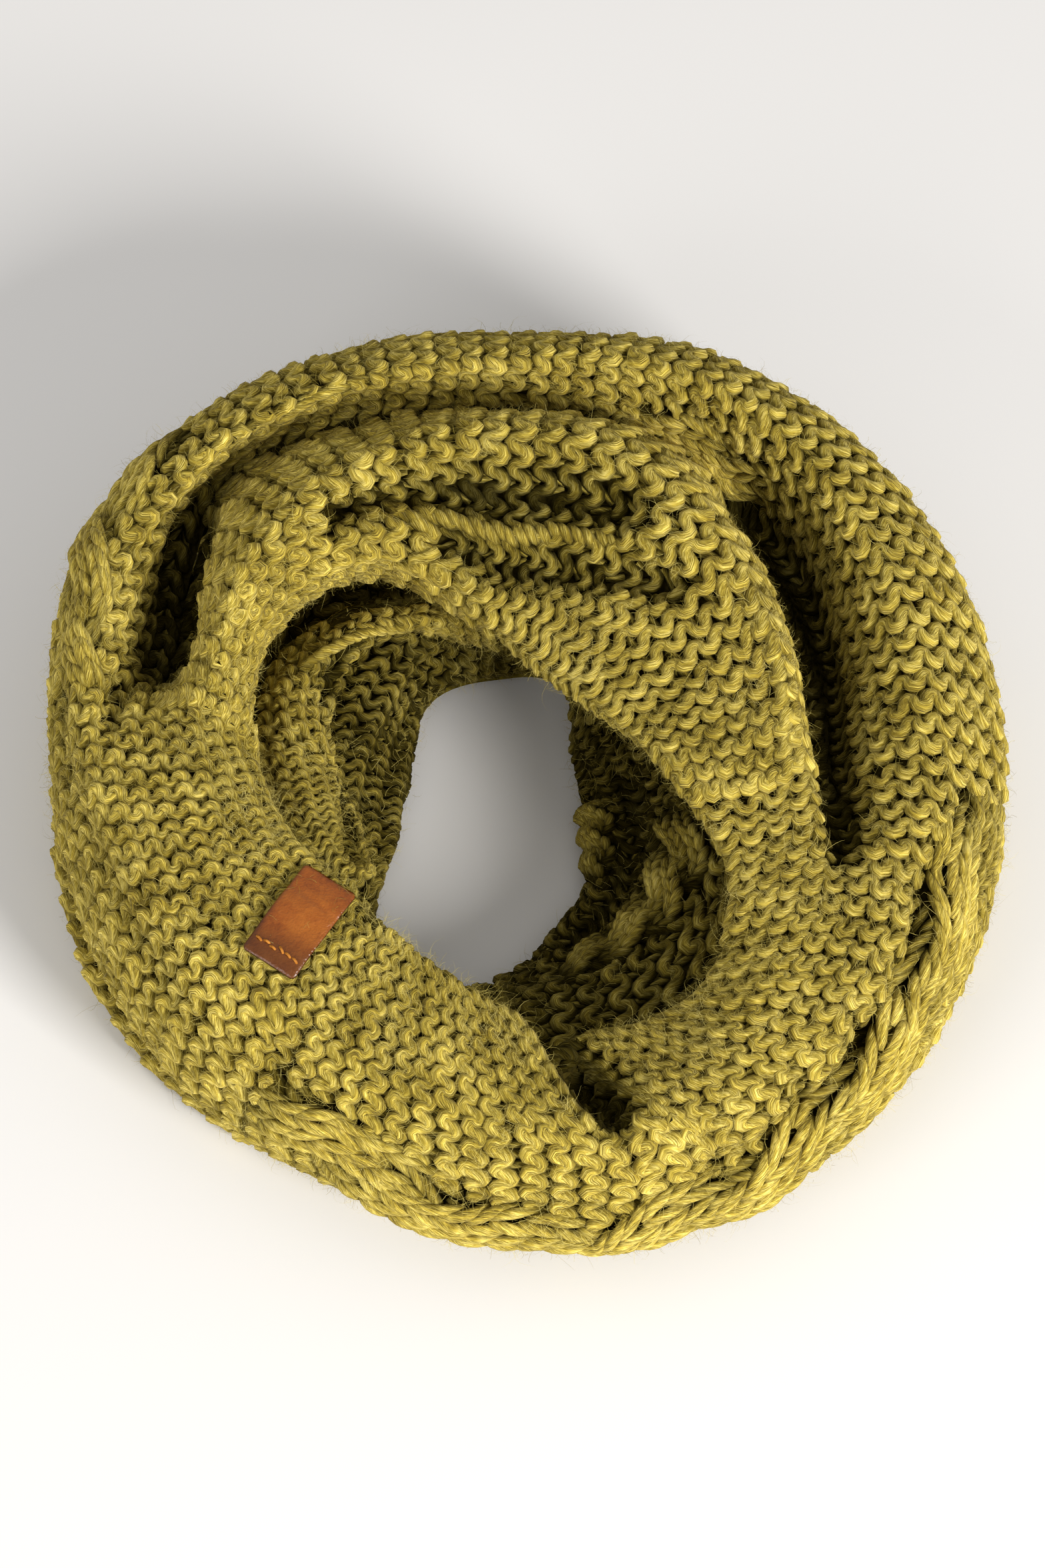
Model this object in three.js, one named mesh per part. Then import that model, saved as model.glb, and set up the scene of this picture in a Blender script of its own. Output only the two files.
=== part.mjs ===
// Infinity scarf of thick knitted cloth, wound twice into a ring and laid down on a surface.
// Millimetres, +Z up; the label and the open pinch face the front, which is -Y.
// The upper turn is three walls cut from one surface; under it a rounded solid holds the hidden layers.
import * as THREE from "three";

// Main sizes
const WALL = 4.2; // thickness of the knitted cloth
const HEAP = { x: 1.75, y: 16 }; // moves the heap so that its box is centred on the origin
const STEP_DEG = 22.5; // angle from one section row to the next

const rad = (deg) => (deg * Math.PI) / 180;
const clamp = (v, lo, hi) => Math.min(hi, Math.max(lo, v));
const smooth = (a, b, v) => {
  const k = clamp((v - a) / (b - a), 0, 1);
  return k * k * (3 - 2 * k);
};

// Upper turn: the centre that each line's radius is measured from
const UPPER_LINES = ["hem", "belly", "shoulder", "crest", "valley", "ridge", "slope", "rim"];
const UPPER_CENTRES = {
  hem: [0, -4],
  belly: [0, -4],
  shoulder: [0, -4],
  crest: [-2, -8],
  valley: [-5, -14],
  ridge: [-8, -20],
  slope: [-12, -28],
  rim: [-18, -34],
  tuck: [-18, -34],
};
// One row for each section, 22.5 degrees apart from +X: [radius, height] of
//  hem,     belly,     shoulder,  crest,     valley,    ridge,     slope,     rim
const UPPER_SECTIONS = [
  [[143, 25], [152, 38], [148, 54], [125, 73], [100, 57], [92, 75], [86, 75], [64, 71]],
  [[144, 28], [153, 41], [147, 65], [124, 78], [107, 47], [93, 80], [87, 78], [52, 71]],
  [[143, 32], [152, 45], [148, 71], [127, 84], [121, 46], [98, 87], [78, 81], [46, 71]],
  [[138, 35], [147, 48], [147, 75], [129, 89], [130, 62], [104, 94], [65, 82], [48, 70]],
  [[134, 35], [143, 48], [142, 76], [124, 90], [125, 69], [103, 97], [63, 81], [62, 68]],
  [[136, 34], [145, 47], [148, 76], [128, 88], [133, 67], [103, 94], [83, 79], [92, 61]],
  [[144, 31], [153, 44], [157, 71], [136, 83], [143, 55], [105, 88], [93, 76], [90, 60]],
  [[147, 28], [156, 41], [160, 61], [142, 76], [120, 55], [99, 81], [84, 73], [77, 62]],
  [[145, 25], [154, 38], [153, 52], [140, 70], [116, 70], [95, 76], [76, 73], [65, 67]],
  [[145, 22], [154, 35], [147, 56], [134, 70], [116, 72], [92, 74], [72, 73], [58, 70]],
  [[149, 18], [158, 31], [152, 53], [133, 67], [115, 69], [94, 71], [72, 71], [54, 70]],
  [[150, 15], [161, 28], [156, 49], [138, 62], [122, 65], [101, 67], [75, 68], [58, 66]],
  [[156, 12], [167, 25], [158, 47], [145, 58], [132, 61], [115, 62], [89, 61], [68, 59]],
  [[158, 13], [169, 26], [163, 46], [151, 59], [141, 62], [127, 62], [107, 57], [84, 50]],
  [[154, 18], [163, 31], [157, 49], [145, 64], [129, 66], [118, 66], [106, 62], [95, 53]],
  [[147, 21], [156, 34], [149, 52], [134, 68], [112, 67], [102, 70], [92, 68], [86, 62]],
];
const TUCK = { out: 9, down: 17 }; // where the cloth turns under past the rim

// Folds of the upper turn: a line from one [deg, line] to another, with its half width and depth.
// Line 0 is the hem and line 8 the tuck; a negative depth stands up as a roll.
const UPPER_FOLDS = [
  { name: "long_crease", from: [122, 5.5], to: [62, 5.42], half: 4.5, depth: 7.5 },
  { name: "low_crease", from: [104, 5.86], to: [46, 5.85], half: 3.5, depth: 3.5 },
  { name: "front_pinch", from: [284, 5.2], to: [289, 8.2], half: 8, depth: 10 },
  { name: "label_dip", from: [236, 6.6], to: [246, 8], half: 7, depth: 2 },
  { name: "cable_groove_front", from: [236, 2.8], to: [264, 1.65], half: 4, depth: 2.2 },
  { name: "cable_groove_middle", from: [266, 1.55], to: [286, 1.65], half: 4, depth: 1.5 },
  { name: "cable_groove_right", from: [290, 1.95], to: [336, 2.65], half: 4, depth: 4 },
  { name: "left_groove", from: [168, 2.45], to: [222, 2.2], half: 5, depth: 2.5 },
  { name: "corner_roll", from: [118, 4.5], to: [152, 4.6], half: 4, depth: -2.5 },
  { name: "back_roll", from: [96, 3.7], to: [62, 3.6], half: 4, depth: -3 },
];

// Cable panels: two crossing strands raised from the cloth, along a path of [deg, line] points
const CABLES = [
  {
    name: "front", half: 12, pitch: 34, high: 2.8,
    path: [[236, 2.1], [247, 1.95], [263, 1], [277, 0.65], [291, 1.3], [310, 1.57], [328, 1.9], [348, 1.85]],
  },
  { name: "left", path: [[138, 2.2], [182, 1.95]], half: 10, pitch: 30, high: 2.4 },
  { name: "corner", path: [[48, 3.75], [74, 3.85]], half: 8, pitch: 28, high: 2.4 },
];

// Middle fold: the layer seen inside the opening on the left
const FOLD_CENTRE = [-30, -20];
const FOLD_RANGE = { from: 71, to: 238 };
const FOLD_STEP_DEG = 22.5;
const FOLD_FIRST_DEG = 45;
// One row every 22.5 degrees from 45: [radius, height] of the crest and of the open edge
const FOLD_SECTIONS = [
  [[58, 49], [55, 42]],
  [[59, 50], [57, 42]],
  [[61, 50], [59, 41]],
  [[64, 48], [61, 40]],
  [[61, 47], [48, 38]],
  [[51, 46], [34, 38]],
  [[43, 46], [27, 38]],
  [[41, 46], [26, 38]],
  [[42, 46], [30, 38]],
  [[45, 46], [38, 38]],
  [[47, 46], [42, 38]],
];
const FOLD_UNDER = { out: 14, drop: 7 };
const FOLD_BACK = { out: 4, drop: 8 };

// Lower turn: the rounded solid that rests on the floor and fills the space under the upper turn
const LOWER_CENTRES = { outer: [0, -4], hole: [-12, -8] };
// One row every 22.5 degrees: bulge radius and height, hole radius, hole slope width and height,
// and how far past the rim the hollow reaches
const LOWER_SECTIONS = [
  [154, 13, 30, 42, 36, 21],
  [154, 14, 30, 36, 34, 21],
  [152, 15, 36, 26, 32, 23],
  [147, 16, 56, 15, 28, 31],
  [143, 16, 54, 14, 26, 33],
  [146, 16, 50, 15, 26, 32],
  [152, 15, 36, 18, 26, 31],
  [156, 14, 29, 22, 26, 28],
  [156, 14, 30, 23, 26, 24],
  [156, 12, 34, 21, 27, 23],
  [154, 9, 53, 16, 27, 23],
  [149, 6, 70, 16, 28, 24],
  [151, 5, 64, 22, 28, 22],
  [152, 5, 49, 36, 30, 26],
  [152, 8, 42, 44, 34, 19],
  [152, 11, 34, 46, 38, 19],
];
const LOWER = {
  lines: [0.7, 1.3, 2, 2.4, 2.75, 3.1, 3.4, 3.7, 4, 4.3, 4.6, 5, 5.42, 5.8],
  underHem: 6,
  insideHem: 9,
  clear: 2,
  backHigh: 33,
  lipHigh: 9,
  holeRound: 4,
};
const LOWER_FOLDS = [
  { name: "inner_crease", from: [296, 20.4], to: [368, 20.2], half: 5, depth: 5 },
];

// Leather label, folded over the edge of the opening
const LABEL = { wide: 21, long: 34, thick: 1.9, deg: 226.5, line: 5.23, turnDeg: 22, clear: 1.2 };

// A value between table rows, smooth and closed round the ring
function ring(values, deg, step = STEP_DEG) {
  const n = values.length;
  const s = (((deg / step) % n) + n) % n;
  const i = Math.floor(s);
  const f = s - i;
  const [a, b, c, d] = [values[(i + n - 1) % n], values[i % n], values[(i + 1) % n], values[(i + 2) % n]];
  return 0.5 * (2 * b + (c - a) * f + (2 * a - 5 * b + 4 * c - d) * f * f + (3 * b - a - 3 * c + d) * f ** 3);
}

function polar(centre, r, z, deg) {
  return new THREE.Vector3(
    HEAP.x + centre[0] + r * Math.cos(rad(deg)),
    HEAP.y + centre[1] + r * Math.sin(rad(deg)),
    z,
  );
}

// A smooth curve through a section's points, read at a place counted in points
function along(points, t) {
  const n = points.length;
  const i = clamp(Math.floor(t), 0, n - 2);
  const f = t - i;
  const at = (k) => {
    if (k < 0) return points[0].clone().multiplyScalar(2).sub(points[1]);
    if (k > n - 1) return points[n - 1].clone().multiplyScalar(2).sub(points[n - 2]);
    return points[k];
  };
  const [a, b, c, d] = [at(i - 1), at(i), at(i + 1), at(i + 2)];
  const mix = (k) =>
    0.5 *
    (2 * b[k] + (c[k] - a[k]) * f + (2 * a[k] - 5 * b[k] + 4 * c[k] - d[k]) * f * f +
      (3 * b[k] - a[k] - 3 * c[k] + d[k]) * f ** 3);
  return new THREE.Vector3(mix("x"), mix("y"), mix("z"));
}

// Section points of the three surfaces
function upperSection(deg) {
  const points = UPPER_LINES.map((name, k) =>
    polar(
      UPPER_CENTRES[name],
      ring(UPPER_SECTIONS.map((row) => row[k][0]), deg),
      ring(UPPER_SECTIONS.map((row) => row[k][1]), deg),
      deg,
    ),
  );
  const last = UPPER_LINES.length - 1;
  const r = ring(UPPER_SECTIONS.map((row) => row[last][0]), deg);
  const z = ring(UPPER_SECTIONS.map((row) => row[last][1]), deg);
  points.push(polar(UPPER_CENTRES.tuck, r + TUCK.out, z - TUCK.down, deg));
  return points;
}

function foldSection(deg) {
  const read = (k, part) => {
    const s = clamp((deg - FOLD_FIRST_DEG) / FOLD_STEP_DEG, 0, FOLD_SECTIONS.length - 1);
    const i = Math.min(Math.floor(s), FOLD_SECTIONS.length - 2);
    const f = smooth(0, 1, s - i) * 0.5 + (s - i) * 0.5;
    return FOLD_SECTIONS[i][k][part] * (1 - f) + FOLD_SECTIONS[i + 1][k][part] * f;
  };
  const [cr, cz, er, ez] = [read(0, 0), read(0, 1), read(1, 0), read(1, 1)];
  return [
    polar(FOLD_CENTRE, cr + FOLD_UNDER.out, cz - FOLD_UNDER.drop, deg),
    polar(FOLD_CENTRE, cr, cz, deg),
    polar(FOLD_CENTRE, er, ez, deg),
    polar(FOLD_CENTRE, er + FOLD_BACK.out, ez - FOLD_BACK.drop, deg),
  ];
}

function lowerSection(deg) {
  const [outer, outerHigh, hole, slope, slopeHigh, back] = [0, 1, 2, 3, 4, 5].map((k) =>
    ring(LOWER_SECTIONS.map((row) => row[k]), deg),
  );
  const c = LOWER_CENTRES;
  const hemOut = ring(UPPER_SECTIONS.map((row) => row[0][0]), deg);
  const hemHigh = ring(UPPER_SECTIONS.map((row) => row[0][1]), deg);
  const rim = ring(UPPER_SECTIONS.map((row) => row[7][0]), deg);
  const under = (line) => upper(deg, line, WALL + LOWER.clear + (line > 4.8 ? 2.5 : 0), false);
  return [
    polar(c.outer, outer - 8, 0, deg),
    polar(c.outer, outer - 1.5, outerHigh * 0.35, deg),
    polar(c.outer, outer, outerHigh, deg),
    polar(c.outer, outer * 0.35 + hemOut * 0.65 - 1, hemHigh - LOWER.underHem, deg),
    polar(c.outer, hemOut - LOWER.insideHem, hemHigh - 1, deg),
    ...LOWER.lines.map(under),
    polar(UPPER_CENTRES.rim, rim + back, LOWER.backHigh, deg),
    polar(c.hole, hole + slope, slopeHigh, deg),
    polar(c.hole, hole + slope * 0.45, slopeHigh * 0.62, deg),
    polar(c.hole, hole, LOWER.lipHigh, deg),
    polar(c.hole, hole + LOWER.holeRound, 0, deg),
  ];
}
const LOWER_LAST = LOWER.lines.length + 9; // the section's last line

// How deep the named folds press the surface at a place; lengths along the ring use its mean radius
const MM_PER_DEG = 2.05;
const MM_PER_LINE = 21;
function offLine(row, deg, line) {
  const wrap = (d) => ((((d - row.from[0] + 180) % 360) + 360) % 360) - 180 + row.from[0];
  const px = (wrap(deg) - row.from[0]) * MM_PER_DEG;
  const py = (line - row.from[1]) * MM_PER_LINE;
  const dx = (row.to[0] - row.from[0]) * MM_PER_DEG;
  const dy = (row.to[1] - row.from[1]) * MM_PER_LINE;
  const long = Math.hypot(dx, dy);
  const k = (px * dx + py * dy) / (long * long);
  const side = (px * dy - py * dx) / long;
  return { k, side, long };
}

// The same for a path of several points: side and run on its nearest stretch, k over all of it
function offPath(path, deg, line) {
  const parts = path.slice(1).map((to, i) => offLine({ from: path[i], to }, deg, line));
  const whole = parts.reduce((sum, part) => sum + part.long, 0);
  let start = 0;
  let best = null;
  for (const { k, side, long } of parts) {
    const over = Math.max(0, -k, k - 1) * long;
    const away = Math.hypot(side, over);
    if (!best || away < best.away) best = { away, side, run: start + k * long, k: (start + k * long) / whole };
    start += long;
  }
  return best;
}
function foldDepth(folds, deg, line) {
  let depth = 0;
  for (const row of folds) {
    const { k, side, long } = offLine(row, deg, line);
    const past = (Math.max(0, -k, k - 1) * long) / (row.half * 1.6);
    depth += row.depth * Math.exp(-((side / row.half) ** 2) - past * past);
  }
  return depth;
}
function cableHeight(deg, line) {
  let high = 0;
  for (const row of CABLES) {
    const { k, side, run } = offPath(row.path, deg, line);
    if (k < -0.1 || k > 1.1 || Math.abs(side) > row.half) continue;
    const turn = (2 * Math.PI * run) / row.pitch;
    const strand = (centre) => Math.max(0, 1 - ((side - centre) / (0.52 * row.half)) ** 2);
    const swing = 0.45 * row.half * Math.cos(turn);
    const ends = smooth(-0.03, 0.04, k) * (1 - smooth(0.96, 1.03, k));
    high += row.high * ends * Math.max(strand(swing), strand(-swing));
  }
  return high;
}

// A surface is a function of the angle and the line; its points press in along the outward normal,
// less so at a tight bend, where the inside would cross itself
function surfaceOf(section, folds, cables, tightLine) {
  const plain = (deg, line) => along(section(deg), line);
  const normal = (deg, line) => {
    const e = 0.4;
    const du = plain(deg + e, line).sub(plain(deg - e, line));
    const dv = plain(deg, line + 0.04).sub(plain(deg, line - 0.04));
    return du.cross(dv).normalize();
  };
  return (deg, line, inward, relief) => {
    const n = normal(deg, line);
    const lift = relief && cables ? cableHeight(deg, line) : 0;
    const tight = 1 - 0.55 * Math.exp(-(((line - tightLine) / 0.5) ** 2));
    return plain(deg, line).addScaledVector(n, lift - inward * tight - foldDepth(folds, deg, line));
  };
}

// Closed meshes from grids of points
class Shell {
  constructor() {
    this.points = [];
    this.faces = [];
  }
  add(p) {
    this.points.push(p.x, p.y, p.z);
    return this.points.length / 3 - 1;
  }
  grid(columns, rows, at) {
    const id = [];
    for (let i = 0; i <= columns; i++) {
      id.push([]);
      for (let j = 0; j <= rows; j++) id[i].push(this.add(at(i / columns, j / rows)));
    }
    return id;
  }
  quads(id, out) {
    for (let i = 0; i + 1 < id.length; i++)
      for (let j = 0; j + 1 < id[i].length; j++) {
        const [a, b, c, d] = [id[i][j], id[i + 1][j], id[i + 1][j + 1], id[i][j + 1]];
        if (out) this.faces.push(a, b, c, a, c, d);
        else this.faces.push(a, c, b, a, d, c);
      }
  }
  // Joins two edges with different numbers of points, walking both at the same pace
  strip(first, second, flip) {
    let i = 0;
    let j = 0;
    const face = (a, b, c) => (flip ? this.faces.push(a, c, b) : this.faces.push(a, b, c));
    while (i + 1 < first.length || j + 1 < second.length) {
      const nextFirst = (i + 1) / (first.length - 1);
      const nextSecond = (j + 1) / (second.length - 1);
      if (j + 1 >= second.length || (i + 1 < first.length && nextFirst <= nextSecond)) {
        face(first[i], first[i + 1], second[j]);
        i += 1;
      } else {
        face(first[i], second[j + 1], second[j]);
        j += 1;
      }
    }
  }
  mesh(name, material) {
    const geometry = new THREE.BufferGeometry();
    geometry.setAttribute("position", new THREE.Float32BufferAttribute(this.points, 3));
    geometry.setIndex(this.faces);
    geometry.computeVertexNormals();
    const made = new THREE.Mesh(geometry, material);
    made.name = name;
    return made;
  }
}

// A wall of even thickness: fine outside, coarser plain inside, closed at its four edges
function wall(name, material, surface, part) {
  const shell = new Shell();
  const rows = part.lines.length - 1;
  const place = (inward, relief) => (u, v) =>
    surface(part.from + (part.to - part.from) * u, part.lines[Math.round(v * rows)], inward, relief);
  const outer = shell.grid(part.columns, rows, place(0, true));
  const inner = shell.grid(part.columns / 2, rows / 2, place(WALL, false));
  shell.quads(outer, true);
  shell.quads(inner, false);
  const column = (id, i) => id[i];
  const row = (id, j) => id.map((c) => c[j]);
  const end = (id) => id.length - 1;
  shell.strip(row(outer, 0), row(inner, 0), true);
  shell.strip(row(outer, rows), row(inner, rows / 2), false);
  shell.strip(column(outer, 0), column(inner, 0), false);
  shell.strip(column(outer, end(outer)), column(inner, end(inner)), true);
  return shell.mesh(name, material);
}

const cloth = (name) =>
  new THREE.MeshStandardMaterial({ name, color: 0xa3933f, roughness: 0.95, metalness: 0 });
const upper = surfaceOf(upperSection, UPPER_FOLDS, true, 7);
const fold = surfaceOf(foldSection, [], false, 2);
const lower = surfaceOf(lowerSection, LOWER_FOLDS, false, -9);

// The three stretches of the upper turn meet at two radial seams and along the valley
const LEFT_SEAM = 176;
const RIGHT_SEAM = 352;
const gapDeg = 1.3; // the seams run aslant near the opening, where this leaves about half a millimetre
const OUTER_LINES = [0, 0.25, 0.5, 0.75, 1, 1.25, 1.5, 1.75, 2, 2.25, 2.5, 2.75, 3, 3.25, 3.5, 3.75, 3.975];
const INNER_LINES = [
  4.05, 4.25, 4.5, 4.75, 5, 5.2, 5.32, 5.42, 5.52, 5.65, 5.78, 5.86, 5.94, 6.1, 6.3, 6.5, 6.75, 7, 7.25, 7.55, 8,
];
const FOLD_LINES = [0, 0.3, 0.6, 0.9, 1.2, 1.5, 1.8, 2.1, 2.4, 2.7, 3];
const backFrom = RIGHT_SEAM - 360 + gapDeg;
const backTo = LEFT_SEAM - gapDeg;
const stretches = [
  {
    name: "front_stretch", from: LEFT_SEAM, to: RIGHT_SEAM, columns: 64,
    lines: [...OUTER_LINES.slice(0, -1), 4, ...INNER_LINES.slice(1)],
  },
  { name: "outer_stretch", from: backFrom, to: backTo, columns: 70, lines: OUTER_LINES },
  { name: "inner_stretch", from: backFrom, to: backTo, columns: 66, lines: INNER_LINES },
];
const scarf = new THREE.Group();
scarf.name = "infinity_scarf";
for (const part of stretches) scarf.add(wall(part.name, cloth("knit_yarn"), upper, part));
scarf.add(
  wall("middle_fold", cloth("knit_yarn"), fold, {
    from: FOLD_RANGE.from, to: FOLD_RANGE.to, columns: 34, lines: FOLD_LINES,
  }),
);

// The lower turn closes on itself all the way round, with a flat underside
const LOWER_ROWS = [];
for (let k = 0; k <= LOWER_LAST; k++) {
  LOWER_ROWS.push(k);
  if (k < 3 || (k > LOWER_LAST - 4 && k < LOWER_LAST)) LOWER_ROWS.push(k + 0.5);
}
function lowerTurn() {
  const shell = new Shell();
  const columns = 66;
  const rows = LOWER_ROWS.length - 1;
  const id = [];
  for (let i = 0; i < columns; i++) {
    id.push([]);
    for (let j = 0; j <= rows; j++) {
      const p = lower((360 * i) / columns, LOWER_ROWS[j], 0, false);
      if (j === 0 || j === rows) p.z = 0;
      id[i].push(shell.add(p));
    }
  }
  for (let i = 0; i < columns; i++) {
    const next = id[(i + 1) % columns];
    for (let j = 0; j <= rows; j++) {
      const k = (j + 1) % (rows + 1);
      shell.faces.push(id[i][j], next[j], next[k], id[i][j], next[k], id[i][k]);
    }
  }
  return shell.mesh("lower_turn", cloth("knit_yarn"));
}
scarf.add(lowerTurn());

// The label follows the front stretch, its far end curling over the edge of the opening
function label() {
  const shell = new Shell();
  const at = upper(LABEL.deg, LABEL.line, 0, false);
  const east = upper(LABEL.deg + 1, LABEL.line, 0, false).sub(at).normalize();
  const inward = upper(LABEL.deg, LABEL.line + 0.05, 0, false).sub(at).normalize();
  const out = east.clone().cross(inward).normalize();
  const turn = rad(LABEL.turnDeg);
  const length = inward.clone().applyAxisAngle(out, turn);
  const width = out.clone().cross(length);
  const sheet = (lift) => (u, v) => {
    const a = (u - 0.5) * LABEL.long;
    const b = (v - 0.5) * LABEL.wide;
    const bend = (a > 0 ? -0.0028 : -0.0045) * a * a - 0.001 * b * b;
    return at
      .clone()
      .addScaledVector(length, a)
      .addScaledVector(width, b)
      .addScaledVector(out, LABEL.clear + lift + bend);
  };
  const top = shell.grid(8, 6, sheet(LABEL.thick));
  const under = shell.grid(8, 6, sheet(0));
  shell.quads(top, true);
  shell.quads(under, false);
  shell.strip(top.map((c) => c[0]), under.map((c) => c[0]), true);
  shell.strip(top.map((c) => c[6]), under.map((c) => c[6]), false);
  shell.strip(top[0], under[0], false);
  shell.strip(top[8], under[8], true);
  const leather = new THREE.MeshStandardMaterial({
    name: "label_leather", color: 0x9c4a1a, roughness: 0.45, metalness: 0,
  });
  return shell.mesh("leather_label", leather);
}
scarf.add(label());

export default scarf;
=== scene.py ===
"""Infinity scarf of chunky wool, wound twice and laid in a round heap, with a leather tab label.

The cloth is built from the same section rows as the solids: a thin shell carries the form, and
every stitch lies on it as a length of yarn. Sizes are in millimetres until a mesh is made.
"""

import itertools
import math

import bpy
import numpy as np
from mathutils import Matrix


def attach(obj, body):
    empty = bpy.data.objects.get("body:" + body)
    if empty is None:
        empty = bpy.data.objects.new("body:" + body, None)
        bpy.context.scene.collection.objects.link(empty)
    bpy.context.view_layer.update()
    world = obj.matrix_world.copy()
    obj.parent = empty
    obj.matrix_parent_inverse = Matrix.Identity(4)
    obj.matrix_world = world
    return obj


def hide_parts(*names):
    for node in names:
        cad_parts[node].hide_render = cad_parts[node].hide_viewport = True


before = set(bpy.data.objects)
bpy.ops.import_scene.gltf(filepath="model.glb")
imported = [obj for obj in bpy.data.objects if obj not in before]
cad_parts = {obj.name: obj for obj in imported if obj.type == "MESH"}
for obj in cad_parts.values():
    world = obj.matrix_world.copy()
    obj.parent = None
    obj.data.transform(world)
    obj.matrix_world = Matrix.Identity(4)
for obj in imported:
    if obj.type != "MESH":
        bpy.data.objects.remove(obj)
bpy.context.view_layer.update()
rng = np.random.default_rng(20)
TAU = 2 * math.pi
MM = 0.001

# Form of the cloth, as in the solids, round the middle of the heap
HEAP = (1.75, 16.0)
STEP_DEG = 22.5
UPPER_LINES = ["hem", "belly", "shoulder", "crest", "valley", "ridge", "slope", "rim"]
HEM, RIM = UPPER_LINES.index("hem"), UPPER_LINES.index("rim")
UPPER_CENTRES = [(0, -4), (0, -4), (0, -4), (-2, -8), (-5, -14), (-8, -20), (-12, -28), (-18, -34)]
# One row every 22.5 degrees from +X: radius and height of each line above
UPPER_SECTIONS = np.array([
    [[143, 25], [152, 38], [148, 54], [125, 73], [100, 57], [92, 75], [86, 75], [64, 71]],
    [[144, 28], [153, 41], [147, 65], [124, 78], [107, 47], [93, 80], [87, 78], [52, 71]],
    [[143, 32], [152, 45], [148, 71], [127, 84], [121, 46], [98, 87], [78, 81], [46, 71]],
    [[138, 35], [147, 48], [147, 75], [129, 89], [130, 62], [104, 94], [65, 82], [48, 70]],
    [[134, 35], [143, 48], [142, 76], [124, 90], [125, 69], [103, 97], [63, 81], [62, 68]],
    [[136, 34], [145, 47], [148, 76], [128, 88], [133, 67], [103, 94], [83, 79], [92, 61]],
    [[144, 31], [153, 44], [157, 71], [136, 83], [143, 55], [105, 88], [93, 76], [90, 60]],
    [[147, 28], [156, 41], [160, 61], [142, 76], [120, 55], [99, 81], [84, 73], [77, 62]],
    [[145, 25], [154, 38], [153, 52], [140, 70], [116, 70], [95, 76], [76, 73], [65, 67]],
    [[145, 22], [154, 35], [147, 56], [134, 70], [116, 72], [92, 74], [72, 73], [58, 70]],
    [[149, 18], [158, 31], [152, 53], [133, 67], [115, 69], [94, 71], [72, 71], [54, 70]],
    [[150, 15], [161, 28], [156, 49], [138, 62], [122, 65], [101, 67], [75, 68], [58, 66]],
    [[156, 12], [167, 25], [158, 47], [145, 58], [132, 61], [115, 62], [89, 61], [68, 59]],
    [[158, 13], [169, 26], [163, 46], [151, 59], [141, 62], [127, 62], [107, 57], [84, 50]],
    [[154, 18], [163, 31], [157, 49], [145, 64], [129, 66], [118, 66], [106, 62], [95, 53]],
    [[147, 21], [156, 34], [149, 52], [134, 68], [112, 67], [102, 70], [92, 68], [86, 62]],
], float)
TUCK_OUT, TUCK_DOWN = 9, 17  # from the rim to the edge tucked under
# Folds: first and last [deg, line], half width and depth; a negative depth stands up
UPPER_FOLDS = [
    ((122, 5.5), (62, 5.42), 4.5, 7.5),
    ((104, 5.86), (46, 5.85), 3.5, 3.5),
    ((284, 5.2), (289, 8.2), 8, 10),
    ((236, 6.6), (246, 8), 7, 2),
    ((236, 2.8), (264, 1.65), 4, 2.2),
    ((266, 1.55), (286, 1.65), 4, 1.5),
    ((290, 1.95), (336, 2.65), 4, 4),
    ((168, 2.45), (222, 2.2), 5, 2.5),
    ((118, 4.5), (152, 4.6), 4, -2.5),
    ((96, 3.7), (62, 3.6), 4, -3),
]
# Deeper creases that only the worn surface shows
CREASES = [
    ((122, 5.45), (66, 5.36), 4.0, 5),
    ((106, 5.9), (46, 5.88), 4, 6),
    ((280.5, 3.4), (284, 4.9), 4, 7),
    ((284.5, 5.0), (288.5, 7.0), 7, 6),
    ((292, 2.15), (334, 2.78), 3.5, 3),
    ((302.5, 2.2), (302.5, 2.7), 4, 4),
    ((311.5, 2.25), (313.5, 2.8), 4, 4),
    ((320.5, 2.4), (321.5, 2.85), 4, 4),
    ((327.5, 2.75), (331.5, 2.95), 4, 3.5),
    ((340, 4.1), (410, 4.1), 6.5, 9),
    ((144, 4.1), (163, 4.02), 7.5, 10),
    ((172, 3.62), (180, 3.5), 3.5, 5),
    ((136, 3.8), (146, 3.75), 4, 4),
]
# Places of painted shade, as [deg, line] ends, half width and strength
SHADES = [
    ((280.5, 3.3), (284, 4.8), 4, 7),
    ((284, 4.8), (288.5, 7.4), 10, 9),
    ((143, 4.1), (166, 4.0), 9, 5),
    ((340, 4.1), (405, 4.1), 9, 5),
]
# Painted shade along the fold's crease, in the same terms
FOLD_SHADES = [((124, 1.95), (92, 2.6), 10, 10)]
FOLD_SHADE, HOLE_SHADE = 0.3, 2.1  # painted shade all over the fold, and all over the opening's wall
FOLD_CREASES = [
    ((123, 1.8), (97, 2.5), 8, 15),
    ((124, 1.75), (160, 2.15), 4.5, 8),
    ((160, 2.15), (228, 1.5), 4, 5),
]
FOLD_RUN_OUT = 1.6  # how slowly a fold ends, in half widths
FOLD_CENTRE = (-30, -20)
FOLD_FROM, FOLD_TO, FOLD_FIRST = 71, 238, 45
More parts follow.
